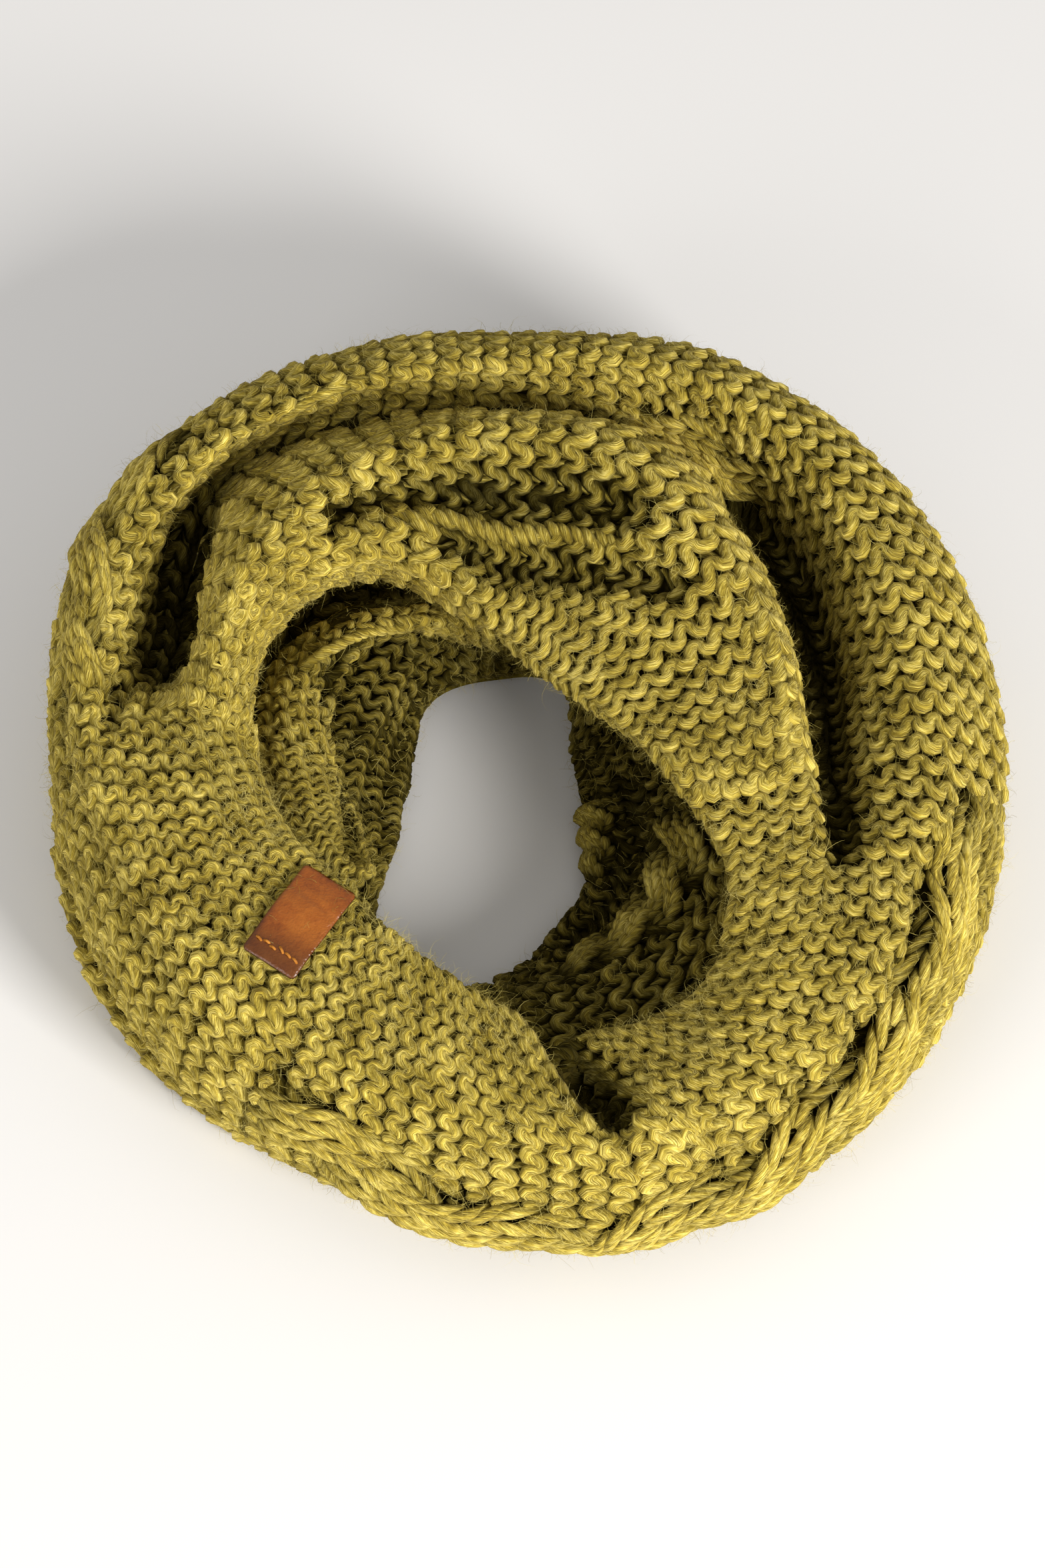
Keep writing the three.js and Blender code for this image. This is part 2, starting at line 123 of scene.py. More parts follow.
# One row every 22.5 degrees from FOLD_FIRST: radius and height of the crest and of the lower edge
FOLD_SECTIONS = np.array([
    [[58, 49], [55, 42]],
    [[59, 50], [57, 42]],
    [[61, 50], [59, 41]],
    [[64, 48], [61, 40]],
    [[61, 47], [48, 38]],
    [[51, 46], [34, 38]],
    [[43, 46], [27, 38]],
    [[41, 46], [26, 38]],
    [[42, 46], [30, 38]],
    [[45, 46], [38, 38]],
    [[47, 46], [42, 38]],
], float)
FOLD_BACK, FOLD_TUCK = (14, -7), (4, -8)  # hidden edges: outward and up from the crest and the edge
LOWER_OUTER, LOWER_HOLE = (0, -4), (-12, -8)
# Bulge radius and height, hole radius, hole slope width and height, and the hollow past the rim
LOWER_SECTIONS = np.array([
    [154, 13, 30, 42, 36, 21],
    [154, 14, 30, 36, 34, 21],
    [152, 15, 36, 26, 32, 23],
    [147, 16, 56, 15, 28, 31],
    [143, 16, 54, 14, 26, 33],
    [146, 16, 50, 15, 26, 32],
    [152, 15, 36, 18, 26, 31],
    [156, 14, 29, 22, 26, 28],
    [156, 14, 30, 23, 26, 24],
    [156, 12, 34, 21, 27, 23],
    [154, 9, 53, 16, 27, 23],
    [149, 6, 70, 16, 28, 24],
    [151, 5, 64, 22, 28, 22],
    [152, 5, 49, 36, 30, 26],
    [152, 8, 42, 44, 34, 19],
    [152, 11, 34, 46, 38, 19],
], float)
LOWER_FOLDS = [((296, 3.4), (368, 3.2), 5, 5)]
# Inside the opening: the hollow under the rim, the bulge as shares of the slope, and the foot
HOLLOW_BACK, HOLLOW_TOP, HOLLOW_LOW = 6, 40, 33
BULGE_WIDE, BULGE_HIGH = 0.45, 0.62
HOLE_LOW, HOLE_TUCK = 9, 4
# Outside: the rounded foot, and how the wall runs up behind the hem
FOOT_TUCK, FOOT_ROUND, FOOT_HIGH = 8, 1.5, 0.35
HEM_SHARE, HEM_GAP, HEM_DOWN, HEM_IN = 0.65, 1, 6, 9
# Underside: how far it reaches past the opening's foot and short of the outer one, and heights
UNDER_HOLE, UNDER_OUTER, UNDER_CLEAR, EDGE_CLEAR = 3, 7, 0.5, 0.8
# Size of a degree and of a line on the cloth, and how far off a path's direction is read
MM_PER_DEG, MM_PER_LINE = 2.05, 21
PATH_LOOK = 6

# Cable panels: path of [deg, line] points, half width, and length of one turn of the strands
FRONT_CABLE = ([
    (236, 2.1), (247, 1.95), (263, 1.05), (277, 0.8), (291, 1.35), (299, 1.55),
    (309.5, 1.85), (319.5, 1.98), (329, 2.15), (337, 2.2), (350, 2.1),
], 14, 76)
LEFT_CABLE = ([(136, 2.1), (152, 2.25), (165, 2.7), (179, 3.0)], 11, 60)
CORNER_CABLE = ([(48, 3.75), (74, 3.85)], 8, 56)
HOLE_CABLES = [
    ([(318, 3.95), (372, 3.9)], 9, 60),
    ([(286, 2.7), (352, 2.5)], 9, 60),
]

# Yarn and stitches
YARN = 2.05  # radius of the yarn
SIT = -1.5  # height of the yarn's middle over the surface
WAVE = 0.5  # how far bumps stand over the parts between them
LOOP = 0.30  # half height of a bump, in courses
LEAN = 0.045  # how steep a bump's sides are
SEGMENTS, SIDES = 10, 7  # points along one bump, and sides of the yarn
NORMAL_SPACING = 6.4  # courses closer than this have thinner yarn
SCALE_RANGE, SCALE_POWER = (0.5, 1.6), 0.4
CROWDED, CROWDED_LEAST = 0.34, 0.3  # the most that the yarn takes of the space between courses
SHORTEST_RUN, TIP = 4, 0.55  # least points in a length of yarn, and how thin its tips are
# How unevenly stitches lie, each as one standard deviation
UNEVEN = {
    "course": 0.07, "tall": 0.17, "shift": 0.05, "lean": 0.012, "lift": 0.35, "yarn": 0.05, "leg": 0.03,
    "cable_run": 0.08, "cable_side": 0.06, "cable_yarn": 0.05, "rope_run": 0.4, "rope_side": 0.3,
}

# Legs in the groove between two ridges: where one starts, how far it runs and how it splays
LEG_LIFT, LEG_ARCH, LEG = -2.9, 0.35, 1.6
LEG_START, LEG_RUN = 0.62, 0.76
LEG_SPLAY_START, LEG_SPLAY = 0.10, 0.20
LEG_CROWDED, LEG_LEAST = 0.28, 0.2
LEG_PLACES, LEG_SIDES = 3, 4

# Stitches of the cables: length of a course, height, share of the yarn's size, and painted shade as tone
# lost
CABLE_COURSE, CABLE_SIT, CABLE_SIZE, CABLE_PAINTED_SHADE = 6.4, -0.3, 0.9, 1.4
# Start and length of a stitch in courses, swing of a strand and width of a column in half widths
CABLE_START, CABLE_RUN, CABLE_SWING, COLUMN_WIDE = 0.1, 1.75, 0.42, 0.58
# How high strands cross, a stitch arches and its end dips, and how a V opens, in column widths
CABLE_CROSS, CABLE_ARCH, CABLE_DIP = 1.6, 1.6, 1.5
CABLE_SPLAY_START, CABLE_SPLAY = 0.06, 0.40
# How a cable sinks near its ends, and the part of the panel without plain stitches
CABLE_SINK, CABLE_FADE = 3.4, 12
CABLE_END, CABLE_CORE = 5, 0.66
STITCH_PLACES = 8

# Stitches of the edge rows, in the same terms
ROPE_COURSE, ROPE_RUN, ROPE_SLANT, ROPE_SIT, ROPE_ARCH = 5.6, 10.5, 2.85, -1.5, 1.6
# Size, painted shade, and the share of the cloth's painted shade that the edge rows take
ROPE_SIZE, ROPE_PAINTED_SHADE, ROPE_PAINTED_SHADE_SHARE = 0.95, 0.9, 0.6
ROPE_SINK, ROPE_FADE = 2.4, 10

# Loose fibres: height of the roots, length, rise and half widths from root to tip
HAIR_ROOTS, HAIR_LONG, HAIR_RISE, HAIR_CURL, HAIR_WAVE = (-1.0, 1.2), (4, 14), (0.3, 3.4), 0.45, 0.5
HAIR_WAVES = (0, 1.0, 0.2, -0.8, 0)
HAIR_HALF = (0.036, 0.036, 0.0306, 0.0216, 0.009)
FUZZ_ROOTS, FUZZ_LONG, FUZZ_RISE, FUZZ_TURN = (-0.4, 0.7), (1.6, 4.2), (0.5, 2.2), 0.4
FUZZ_HALF = (0.034, 0.03, 0.012)
FUZZ_SHARE = 1.4  # short fibres for each long one
OVER_CABLE = 2.4  # how much higher fibres start on a cable
OPEN_DEPTH = 4  # fibres keep out of creases deeper than this, and out of painted shade as strong

# Painted shade: tone lost in a crease for each millimetre of depth, and the depth past which it stays the
# same
PAINTED_SHADE_PER_MM, PAINTED_SHADE_DEEPEST = 0.26, 13

# Table of points of a cloth, its shell, and the least height of cloth and yarn over the floor
ACROSS, FINE_ACROSS, TABLE_STEP = 160, 360, 0.75
SHELL_LIFT, SHELL_GRID, UNDER_GRID = -3.7, (100, 30), (120, 12)
SHELL_CLEAR, YARN_CLEAR = 0.1, 0.15


def smooth(a, b, c, d, f):
    """Value between b and c on a smooth curve through four values in a row."""
    return 0.5 * (2 * b + (c - a) * f + (2 * a - 5 * b + 4 * c - d) * f**2 + (3 * b - a - 3 * c + d) * f**3)


def ring(values, deg):
    """Values between table rows, smooth and closed round the ring."""
    n = len(values)
    s = np.mod(np.asarray(deg, float) / STEP_DEG, n)
    i = np.floor(s).astype(int)
    return smooth(*(values[np.mod(i + k, n)] for k in (-1, 0, 1, 2)), s - i)


def polar(centre, r, z, deg):
    """Points at radius r and height z round the heap's middle, moved by centre."""
    a = np.radians(deg)
    x = HEAP[0] + centre[0] + r * np.cos(a)
    y = HEAP[1] + centre[1] + r * np.sin(a)
    return np.stack([x, y, np.broadcast_to(z, x.shape)], -1)


def along(points, t):
    """Smooth curves through sections' points: points (lines, degs, 3), read at t (places)."""
    first = 2 * points[:1] - points[1:2]
    last = 2 * points[-1:] - points[-2:-1]
    p = np.concatenate([first, points, last])
    i = np.clip(np.floor(t).astype(int), 0, len(points) - 2)
    return smooth(*(p[i + k].transpose(1, 0, 2) for k in range(4)), (t - i)[None, :, None])


def unit(v):
    """Vectors of length one."""
    return v / np.maximum(np.linalg.norm(v, axis=-1, keepdims=True), 1e-9)


def distance_along(points):
    """Distance of each point from the first one of its row."""
    steps = np.linalg.norm(np.diff(points, axis=1), axis=2)
    return np.concatenate([np.zeros((len(points), 1)), np.cumsum(steps, 1)], 1)


def upper_line(k, deg):
    """Radius and height of one line of the upper turn."""
    return ring(UPPER_SECTIONS[:, k, 0], deg), ring(UPPER_SECTIONS[:, k, 1], deg)


def upper_sections(deg):
    """The upper turn from hem to rim, and the edge tucked under."""
    rows = [polar(UPPER_CENTRES[k], *upper_line(k, deg), deg) for k in range(len(UPPER_LINES))]
    r, z = upper_line(RIM, deg)
    return np.stack(rows + [polar(UPPER_CENTRES[RIM], r + TUCK_OUT, z - TUCK_DOWN, deg)])


def fold_sections(deg):
    """The doubled band in the opening: its hidden back, crest, lower edge and the edge's tuck."""
    s = np.clip((deg - FOLD_FIRST) / STEP_DEG, 0, len(FOLD_SECTIONS) - 1)
    i = np.minimum(np.floor(s).astype(int), len(FOLD_SECTIONS) - 2)
    f = s - i
    f = 0.5 * f * f * (3 - 2 * f) + 0.5 * f
    v = FOLD_SECTIONS[i] * (1 - f)[:, None, None] + FOLD_SECTIONS[i + 1] * f[:, None, None]
    (cr, cz), (er, ez) = v[:, 0].T, v[:, 1].T
    return np.stack([
        polar(FOLD_CENTRE, cr + FOLD_BACK[0], cz + FOLD_BACK[1], deg),
        polar(FOLD_CENTRE, cr, cz, deg),
        polar(FOLD_CENTRE, er, ez, deg),
        polar(FOLD_CENTRE, er + FOLD_TUCK[0], ez + FOLD_TUCK[1], deg),
    ])


def hole_sections(deg):
    """The lower turn where it shows inside the opening, from the hollow down to the floor."""
    hole, slope, high, back = (ring(LOWER_SECTIONS[:, k], deg) for k in (2, 3, 4, 5))
    rim, _ = upper_line(RIM, deg)
    return np.stack([
        polar(UPPER_CENTRES[RIM], rim + back + HOLLOW_BACK, HOLLOW_TOP, deg),
        polar(UPPER_CENTRES[RIM], rim + back, HOLLOW_LOW, deg),
        polar(LOWER_HOLE, hole + slope, high, deg),
        polar(LOWER_HOLE, hole + slope * BULGE_WIDE, high * BULGE_HIGH, deg),
        polar(LOWER_HOLE, hole, HOLE_LOW, deg),
        polar(LOWER_HOLE, hole + HOLE_TUCK, EDGE_CLEAR, deg),
    ])


def foot_sections(deg):
    """The lower turn's outside, from the floor up to where the upper turn hides it."""
    outer, high = (ring(LOWER_SECTIONS[:, k], deg) for k in (0, 1))
    hem, hem_high = upper_line(HEM, deg)
    meeting = outer * (1 - HEM_SHARE) + hem * HEM_SHARE - HEM_GAP
    return np.stack([
        polar(LOWER_OUTER, outer - FOOT_TUCK, EDGE_CLEAR, deg),
        polar(LOWER_OUTER, outer - FOOT_ROUND, high * FOOT_HIGH, deg),
        polar(LOWER_OUTER, outer, high, deg),
        polar(LOWER_OUTER, meeting, hem_high - HEM_DOWN, deg),
        polar(LOWER_OUTER, hem - HEM_IN, hem_high - HEM_GAP, deg),
    ])


def under_sections(deg):
    """The side the heap lies on, from the opening's foot to the outer foot."""
    outer, hole = (ring(LOWER_SECTIONS[:, k], deg) for k in (0, 2))
    return np.stack([
        polar(LOWER_HOLE, hole + UNDER_HOLE, UNDER_CLEAR, deg),
        polar(LOWER_OUTER, outer - UNDER_OUTER, UNDER_CLEAR, deg),
    ])


def off_line(first, last, deg, line):
    """For a line drawn on the cloth: share of it passed, distance to its side, and its length."""
    turn = np.mod(deg - first[0] + 180, 360) - 180
    px, py = turn * MM_PER_DEG, (line - first[1]) * MM_PER_LINE
    dx, dy = (last[0] - first[0]) * MM_PER_DEG, (last[1] - first[1]) * MM_PER_LINE
    long = math.hypot(dx, dy)
    return (px * dx + py * dy) / long**2, (px * dy - py * dx) / long, long


def off_path(path, deg, line):
    """For a path of such lines: distance to the side of the nearest, run along it, and its length."""
    best = None
    start = 0.0
    for first, last in zip(path[:-1], path[1:]):
        k, side, long = off_line(first, last, deg, line)
        away = np.hypot(side, np.maximum(0, np.maximum(-k, k - 1)) * long)
        now = np.stack([away, side, start + k * long])
        best = now if best is None else np.where(away < best[0], now, best)
        start += long
    return best[1], best[2], start


def path_lengths(path):
    """Distance of each point of a path from its start."""
    steps = [
        math.hypot((b[0] - a[0]) * MM_PER_DEG, (b[1] - a[1]) * MM_PER_LINE)
        for a, b in zip(path[:-1], path[1:])
    ]
    return np.concatenate([[0], np.cumsum(steps)])


def on_path(path, run, side):
    """Angles and lines at a distance along and beside a path."""
    reach = path_lengths(path)
    degs, lines = np.array(path).T
    inside = np.clip(run, 0, reach[-1])
    deg, line = np.interp(inside, reach, degs), np.interp(inside, reach, lines)
    ahead, behind = np.minimum(inside + PATH_LOOK, reach[-1]), np.maximum(inside - PATH_LOOK, 0)
    dx = (np.interp(ahead, reach, degs) - np.interp(behind, reach, degs)) * MM_PER_DEG
    dy = (np.interp(ahead, reach, lines) - np.interp(behind, reach, lines)) * MM_PER_LINE
    long = np.hypot(dx, dy)
    past = run - inside
    deg = deg + (past * dx / long + side * dy / long) / MM_PER_DEG
    line = line + (past * dy / long - side * dx / long) / MM_PER_LINE
    return deg, line


def fold_depth(folds, deg, line):
    """Depth of all folds at a place, each a soft trough that runs out past its ends."""
    depth = 0
    for first, last, half, deep in folds:
        k, side, long = off_line(first, last, deg, line)
        past = np.maximum(0, np.maximum(-k, k - 1)) * long / (half * FOLD_RUN_OUT)
        depth = depth + deep * np.exp(-((side / half) ** 2) - past**2)
    return depth


class Cloth:
    """A stretch of cloth as a dense table of points, evenly spaced across its width."""

    def __init__(self, sections, degs, lines, folds=(), cables=(), shades=(), shade=0.0):
        self.start, self.end = degs
        self.shade = shade
        self.cables = cables
        count = int(round((self.end - self.start) / TABLE_STEP)) + 1
        self.deg = np.linspace(self.start, self.end, count)
        fine = np.linspace(lines[0], lines[1], FINE_ACROSS)
        p = along(sections(self.deg), fine)
        deep = np.zeros(p.shape[:2]) + fold_depth(folds, self.deg[:, None], fine[None, :])
        p = p - self.normals(p) * deep[..., None]
        # Places of painted shade add to the depth table, which darkens the yarn, but not to the form
        deep = deep + fold_depth(shades, self.deg[:, None], fine[None, :])
        run = distance_along(p)
        self.width = run[:, -1]
        self.p = np.empty((count, ACROSS, 3))
        self.line = np.empty((count, ACROSS))
        self.deep = np.empty((count, ACROSS))
        for i in range(count):
            s = np.linspace(0, run[i, -1], ACROSS)
            for k in range(3):
                self.p[i, :, k] = np.interp(s, run[i], p[i, :, k])
            self.line[i] = np.interp(s, run[i], fine)
            self.deep[i] = np.interp(s, run[i], deep[i])
        self.n = self.normals(self.p)
        pull = np.linalg.norm(np.gradient(self.p, axis=0), axis=2)
        self.per_deg = pull / ((self.end - self.start) / (count - 1))

    @staticmethod
    def normals(p):
        return unit(np.cross(np.gradient(p, axis=0), np.gradient(p, axis=1)))

    def read(self, table, deg, s):
        """A table's values at angles deg and shares s of the width."""
        i = np.clip((deg - self.start) / (self.end - self.start), 0, 1) * (len(self.deg) - 1)
        j = np.clip(s, 0, 1) * (ACROSS - 1)
        a, b = np.minimum(i.astype(int), len(self.deg) - 2), np.minimum(j.astype(int), ACROSS - 2)
        f, g = i - a, j - b
        if table.ndim == 3:
            f, g = f[..., None], g[..., None]
        low = table[a, b] * (1 - g) + table[a, b + 1] * g
        high = table[a + 1, b] * (1 - g) + table[a + 1, b + 1] * g
        return low * (1 - f) + high * f

    def at(self, deg, s, lift):
        """Points a height over the cloth, and the outward directions there."""
        n = unit(self.read(self.n, deg, s))
        return self.read(self.p, deg, s) + n * np.asarray(lift)[..., None], n

    def painted_crease_shade(self, deg, s):
        """Painted shade: how far the bottom of a crease, a place of painted shade and the stretch's own
        painted shade lower the tone of the yarn.
        """
        return self.shade + PAINTED_SHADE_PER_MM * np.clip(self.read(self.deep, deg, s), 0, PAINTED_SHADE_DEEPEST)

    def open_places(self, count):
        """Random places outside the creases and the strong painted shade, for loose fibres."""
        deg, s = rng.uniform(self.start, self.end, count), rng.uniform(0.01, 0.99, count)
        keep = self.read(self.deep, deg, s) < OPEN_DEPTH
        return deg[keep], s[keep]

    def in_cable(self, deg, s, share=CABLE_CORE):
        """True where a cable panel takes the place of the plain stitches."""
        line = self.read(self.line, deg, s)
        inside = np.zeros(np.shape(deg), bool)
        for path, half, _ in self.cables:
            side, run, long = off_path(path, deg, line)
            inside |= (run > CABLE_END) & (run < long - CABLE_END) & (np.abs(side) < half * share)
        return inside

    def place_of(self, deg, line):
        """The share of the width where a line lies, for each angle."""
        i = np.clip((deg - self.start) / (self.end - self.start), 0, 1) * (len(self.deg) - 1)
        share = np.linspace(0, 1, ACROSS)
        rows = np.round(i).astype(int)
        return np.array([np.interp(line[k], self.line[row], share) for k, row in enumerate(rows)])


class Tubes:
    """Collects lengths of yarn and makes one mesh of them."""

    def __init__(self):
        self.verts, self.quads, self.uvs, self.caps, self.heights, self.count = [], [], [], [], [], 0

    def add(self, points, normals, radius, tone, sides=SIDES, closed=True):
        """Adds tubes: points and normals (tubes, places, 3), radius and tone (tubes, places); the tone sets
        their painted shade.
        """
        m, n = points.shape[:2]
        radius = np.broadcast_to(radius, (m, n))
        tone = np.broadcast_to(tone, (m, n))
        tangent = unit(np.gradient(points, axis=1))
        side = unit(np.cross(tangent, normals))
        up = np.cross(side, tangent)
        a = np.arange(sides) / sides * TAU
        out = radius[..., None] * np.sin(a)
        high = -radius[..., None] * np.cos(a)
        verts = points[:, :, None] + side[:, :, None] * out[..., None] + up[:, :, None] * high[..., None]
        self.verts.append(verts.reshape(-1, 3))
        # Painted shade: each point's value is its tone, lower still on the underside of the tube
        self.heights.append((tone[..., None] + high).ravel())
        tube = np.arange(m)[:, None, None] * n * sides
        i = np.arange(n - 1)[None, :, None] * sides
        j = np.arange(sides)[None, None]
        nxt = (j + 1) % sides
        corners = [tube + i + j, tube + i + nxt, tube + i + sides + nxt, tube + i + sides + j]
        self.quads.append(np.stack(corners, -1).reshape(-1, 4) + self.count)
        run = distance_along(points) + rng.uniform(0, 400, (m, 1))
        shape = (m, n - 1, sides)
        u0, u1 = np.broadcast_to(run[:, :-1, None], shape), np.broadcast_to(run[:, 1:, None], shape)
        v0 = np.broadcast_to(j / sides, shape)
        v1 = v0 + 1 / sides
        uv = np.stack([np.stack(pair, -1) for pair in ((u0, v0), (u0, v1), (u1, v1), (u1, v0))], 3)
        self.uvs.append(uv.reshape(-1, 2))
        if closed:
            starts = np.arange(m)[:, None] * n * sides + self.count
            self.caps.append(starts + np.arange(sides)[None, ::-1])
            self.caps.append(starts + (n - 1) * sides + np.arange(sides)[None])
        self.count += m * n * sides

    def mesh(self, name, material):
        """One piece of all the tubes, with the run of the yarn as UV and its tone, which sets the painted
        shade, as an attribute.
        """
        verts = np.concatenate(self.verts)
        verts[:, 2] = np.maximum(verts[:, 2], YARN_CLEAR)
        quads = np.concatenate(self.quads)
        loops, totals, uv = [quads.ravel()], [np.full(len(quads), 4)], [np.concatenate(self.uvs)]
        for cap in self.caps:
            loops.append(cap.ravel())
            totals.append(np.full(len(cap), cap.shape[1]))
            uv.append(np.zeros((cap.size, 2)))
        loops, totals, uv = (np.concatenate(arrays) for arrays in (loops, totals, uv))
        piece = make_mesh(name, verts, loops, totals, material, uv)
        point_values(piece, "height", np.concatenate(self.heights))
        return piece


def make_mesh(name, verts, loops, totals, material, uv=None):
    """A smooth piece, from points in millimetres and each face's number of corners."""
    mesh = bpy.data.meshes.new(name)
    mesh.vertices.add(len(verts))
    mesh.vertices.foreach_set("co", np.asarray(verts * MM, np.float32).ravel())
    mesh.loops.add(len(loops))
    mesh.loops.foreach_set("vertex_index", np.asarray(loops, np.int32))
    mesh.polygons.add(len(totals))
    starts = np.concatenate([[0], np.cumsum(totals)[:-1]])
    mesh.polygons.foreach_set("loop_start", starts.astype(np.int32))
    mesh.polygons.foreach_set("use_smooth", np.ones(len(totals), bool))
    if uv is not None:
        layer = mesh.uv_layers.new(name="Yarn")
        layer.data.foreach_set("uv", np.asarray(uv, np.float32).ravel())
    mesh.update(calc_edges=True)
    piece = bpy.data.objects.new(name, mesh)
    bpy.context.scene.collection.objects.link(piece)
    piece.data.materials.append(material)
    return piece


def quad_mesh(name, verts, quads, material):
    return make_mesh(name, verts, quads.ravel(), np.full(len(quads), 4), material)


def point_values(piece, name, values):
    """A number for each point, which the material reads."""
    attribute = piece.data.attributes.new(name, "FLOAT", "POINT")
    attribute.data.foreach_set("value", values.astype(np.float32))


def grid_quads(columns, rows):
    i, j = np.meshgrid(np.arange(columns), np.arange(rows), indexing="ij")
    w = rows + 1
    corner = i * w + j
    return np.stack([corner, corner + w, corner + w + 1, corner + 1], -1).reshape(-1, 4)


def shell(name, cloth, lift, material, columns, rows):
    """The thin cloth under the stitches."""
    deg = np.linspace(cloth.start, cloth.end, columns + 1)
    d, s = np.meshgrid(deg, np.linspace(0, 1, rows + 1), indexing="ij")
    p, _ = cloth.at(d, s, np.full(d.shape, lift))
    p[..., 2] = np.maximum(p[..., 2], SHELL_CLEAR)
    return quad_mesh(name, p.reshape(-1, 3), grid_quads(columns, rows), material)


def noise_along(t, step, spread, middle=0.0):
    """Smooth seeded variation along a yarn."""
    n = int(t[-1] / step) + 2
    return np.interp(t, np.linspace(0, t[-1], n), rng.normal(middle, spread, n))


def knit(cloth, courses, stitches, tubes, part, size):
    """Lays one ridge after another across the cloth, each a wavy row of bumps, with legs between."""
    step = (cloth.end - cloth.start) / courses
    t = np.linspace(0, TAU * stitches, stitches * SEGMENTS + 1)
    low, high = int(round(part[0] * courses)), int(round(part[1] * courses))
    for k in range(low, high):
        wobble = noise_along(t, TAU, UNEVEN["course"])
        tall = noise_along(t, TAU, UNEVEN["tall"], 1)
        shift = rng.normal(0, UNEVEN["shift"])
        lean = noise_along(t, TAU, UNEVEN["lean"], LEAN)
        s = (t / TAU + shift + lean * np.sin(2 * t)) / stitches
        deg = cloth.start + step * (k + 0.5 + wobble + LOOP * tall * np.cos(t))
        spacing = cloth.read(cloth.per_deg, deg, s) * step
        scale = np.clip(spacing / NORMAL_SPACING, *SCALE_RANGE) ** SCALE_POWER
        # A loop stands up on its first side and dips towards the next ridge
        bumps = 0.5 * np.cos(2 * t - 0.6) - 0.8 * np.cos(t)
        lift = SIT + WAVE * scale * bumps + noise_along(t, TAU * 1.5, UNEVEN["lift"])
        points, normals = cloth.at(deg, s, lift)
        radius = YARN * size * scale * noise_along(t, TAU * 0.7, UNEVEN["yarn"], 1)
        radius = np.minimum(radius, CROWDED * spacing + CROWDED_LEAST)
        # Painted shade: the yarn's colour is darker where it lies low, in creases and in places of painted
        # shade
        tone = lift - cloth.painted_crease_shade(deg, s)
        for a, b in runs(~cloth.in_cable(deg, s)):
            if b - a > SHORTEST_RUN:
                r = radius[a:b].copy()
                r[[0, -1]] *= TIP
                tubes.add(points[None, a:b], normals[None, a:b], r[None], tone[None, a:b])
    legs(cloth, np.arange(low, high), step, stitches, tubes, size)


def runs(keep):
    """First and past-the-last place of each run of true values."""
    edges = np.flatnonzero(np.diff(np.concatenate([[0], keep.astype(int), [0]])))
    return list(zip(edges[::2], edges[1::2]))


def legs(cloth, courses, step, stitches, tubes, size):
    """Short lengths of yarn, deep in the grooves, that join one ridge to the next."""
    k, m, way = np.meshgrid(courses, np.arange(stitches), [-1, 1], indexing="ij")
    k, m, way = k.ravel()[:, None], m.ravel()[:, None], way.ravel()[:, None]
    f = np.linspace(0, 1, LEG_PLACES)[None]
    deg = cloth.start + step * (k + LEG_START + LEG_RUN * f)
    splay = way * (LEG_SPLAY_START + LEG_SPLAY * f)
    s = (m + 0.5 + splay + rng.normal(0, UNEVEN["leg"], k.shape)) / stitches
    keep = (deg[:, -1] < cloth.end) & ~cloth.in_cable(deg, s).any(1)
    deg, s = deg[keep], s[keep]
    lift = LEG_LIFT + LEG_ARCH * np.sin(np.pi * f) + 0 * deg
    points, normals = cloth.at(deg, s, lift)
    spacing = cloth.read(cloth.per_deg, deg, s) * step
    radius = np.minimum(LEG * size, LEG_CROWDED * spacing + LEG_LEAST)
    tubes.add(points, normals, radius, lift, sides=LEG_SIDES, closed=False)


def swell(f, least, gain):
    """How thick a plump stitch is along its length."""
    return least + gain * np.sin(math.pi * np.clip(f * 0.94 + 0.03, 0, 1)) ** 0.8


def near_ends(run, long, reach):
    """One at both ends of a path, falling away towards its middle."""
    return np.exp(-np.maximum(np.minimum(run, long - run), 0) / reach)


def lay_stitch(cloth, tubes, path, run, side, lift, radius, painted_shade, share):
    """One stitch beside a path. Its colour takes painted shade: a fixed amount and a share of the cloth's
    painted shade.
    """
    deg, line = on_path(path, run, side)
    place = cloth.place_of(deg, line)
    points, normals = cloth.at(deg, place, lift)
    tone = lift - painted_shade - share * cloth.painted_crease_shade(deg, place)
    tubes.add(points[None], normals[None], radius[None], tone[None])


def cable(cloth, row, tubes):
    """Two crossing strands, each two columns of plump V stitches that run along a path."""
    path, half, pitch = row
    long = path_lengths(path)[-1]
    column_wide = half * COLUMN_WIDE
    f = np.linspace(0, 1, STITCH_PLACES)
    open_up = CABLE_SPLAY_START + CABLE_SPLAY * f**0.9
    courses = range(int(long / CABLE_COURSE))
    for strand, column, k, way in itertools.product((-1, 1), (-0.5, 0.5), courses, (-1, 1)):
        run = (k + CABLE_START + CABLE_RUN * f + rng.normal(0, UNEVEN["cable_run"])) * CABLE_COURSE
        turn = TAU * run / pitch
        centre = strand * CABLE_SWING * half * np.cos(turn) + column * column_wide
        side = centre + way * column_wide * open_up * (1 + rng.normal(0, UNEVEN["cable_side"]))
        lift = CABLE_SIT + strand * CABLE_CROSS * np.sin(turn)
        lift = lift + CABLE_ARCH * np.sin(math.pi * f**0.8) - CABLE_DIP * f
        lift = lift - CABLE_SINK * near_ends(run, long, CABLE_FADE)
        radius = YARN * rng.normal(CABLE_SIZE, UNEVEN["cable_yarn"]) * swell(f, 0.5, 0.55)
        lay_stitch(cloth, tubes, path, run, side, lift, radius, CABLE_PAINTED_SHADE, 1)


